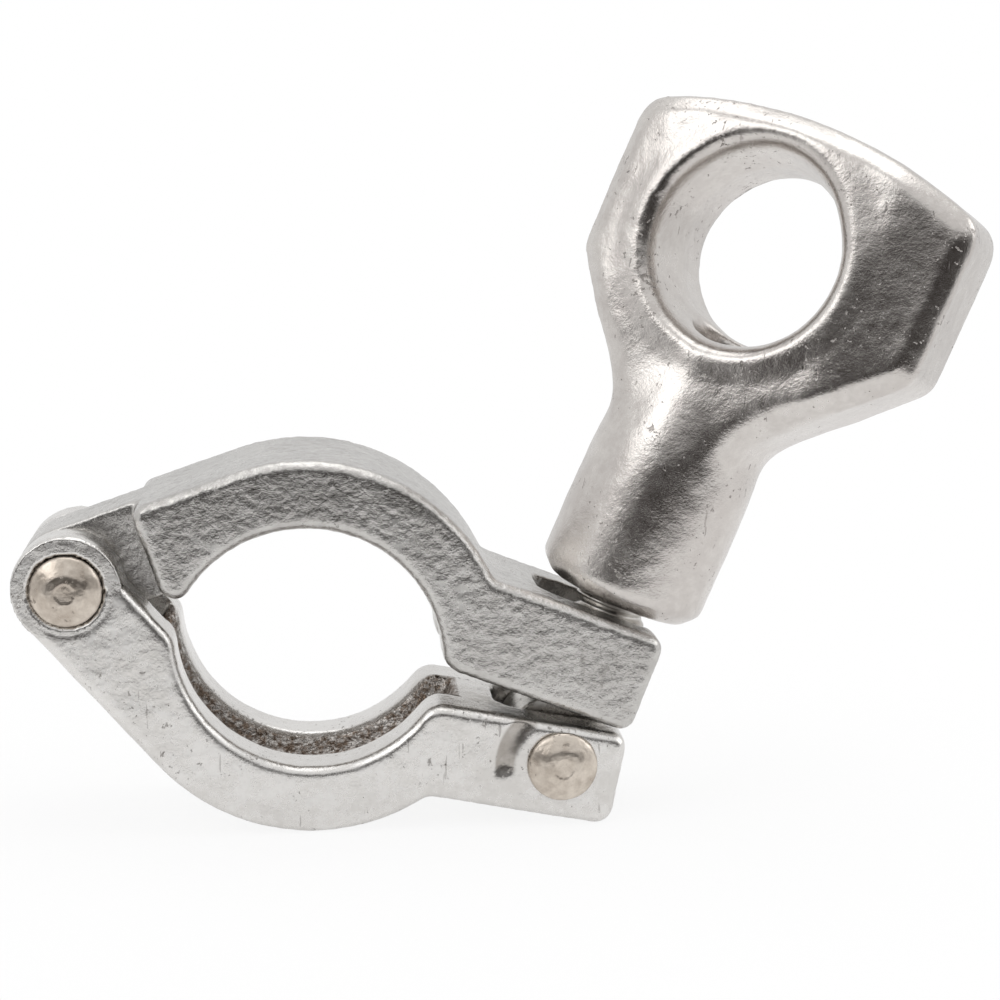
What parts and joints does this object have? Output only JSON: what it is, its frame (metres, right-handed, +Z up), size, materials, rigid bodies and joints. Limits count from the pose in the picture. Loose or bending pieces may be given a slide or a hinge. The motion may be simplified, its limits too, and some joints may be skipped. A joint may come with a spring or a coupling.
{
  "type": "sanitary hinged clamp",
  "caption": "Two hinged cast half rings with an inner groove, drawn together by an eye bolt and a wing nut with a large eye.",
  "frame": {"origin": "centre of the lower jaw's ring, midway between the clamp's two faces, where the ferrules' axis passes", "axes": "+Y along the pipe, away from the side that faces the user; +Z up as the clamp stands on its lower jaw; +X from the hinge towards the bolt"},
  "size_m": [0.0786, 0.0245, 0.0583],
  "materials": {
    "cast_lower": "tumbled investment casting",
    "cast_upper": "rough investment casting",
    "cast_nut": "tumbled investment casting",
    "pins": "satin",
    "bolt": "rolled thread"
  },
  "bodies": {
    "lower_jaw": {"lower_jaw": "cast_lower", "hinge_pin": "pins", "bolt_pin": "pins"},
    "upper_jaw": {"upper_jaw": "cast_upper"},
    "swing_bolt": {"swing_bolt": "bolt"},
    "wing_nut": {"wing_nut": "cast_nut"}
  },
  "joints": [
    {"name": "jaw_hinge", "type": "hinge", "parent": "lower_jaw", "child": "upper_jaw", "pos_m": [-0.01932, 0, 0.00383], "axis": [0, -1, 0], "range_deg": [0, 24.5]},
    {"name": "bolt_swing", "type": "hinge", "parent": "lower_jaw", "child": "swing_bolt", "pos_m": [0.01992, 0, -0.01139], "axis": [0, 1, 0], "range_deg": [-8, 190]},
    {"name": "nut_travel", "type": "slide", "parent": "swing_bolt", "child": "wing_nut", "axis": [0.394, 0, 0.9191], "range_m": [0, 0.0176]}
  ],
  "couplings": [
    {"joint": "jaw_hinge", "follows": "nut_travel", "rad_per_m": 23.8}
  ]
}
